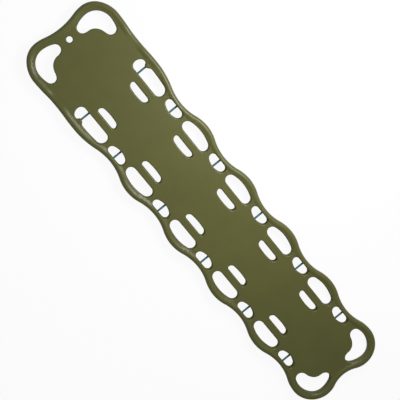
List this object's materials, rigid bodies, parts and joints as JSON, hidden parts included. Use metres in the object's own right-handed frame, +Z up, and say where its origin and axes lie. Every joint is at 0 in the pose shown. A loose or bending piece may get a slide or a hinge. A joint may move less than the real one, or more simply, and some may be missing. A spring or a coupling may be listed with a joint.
{
  "type": "spine board",
  "caption": "Long moulded plastic rescue board with a shallow dished deck, hand holes and strap slots round its waved edge, and strap pins in the side openings.",
  "frame": {"origin": "centre of the bounding box in plan, at the underside of the runners", "axes": "+X along the board from its head end to its foot end, +Y across it to the picture's upper side, +Z up out of the deck"},
  "size_m": [1.829, 0.4064, 0.05],
  "materials": {
    "board_plastic": "semi-gloss, lightly textured moulding",
    "foam": "matt closed-cell foam",
    "pin_plastic": "smooth satin",
    "plug_plastic": "smooth satin"
  },
  "bodies": {
    "root": {"shell": "board_plastic", "foam_core": "foam", "strap_pin_left_1": "pin_plastic", "strap_pin_left_2": "pin_plastic", "strap_pin_left_3": "pin_plastic", "strap_pin_left_4": "pin_plastic", "strap_pin_left_5": "pin_plastic", "strap_pin_left_6": "pin_plastic", "strap_pin_right_1": "pin_plastic", "strap_pin_right_2": "pin_plastic", "strap_pin_right_3": "pin_plastic", "strap_pin_right_4": "pin_plastic", "strap_pin_right_5": "pin_plastic", "strap_pin_right_6": "pin_plastic", "fill_plug_head_end": "plug_plastic", "fill_plug_foot_end": "plug_plastic"}
  },
  "joints": []
}
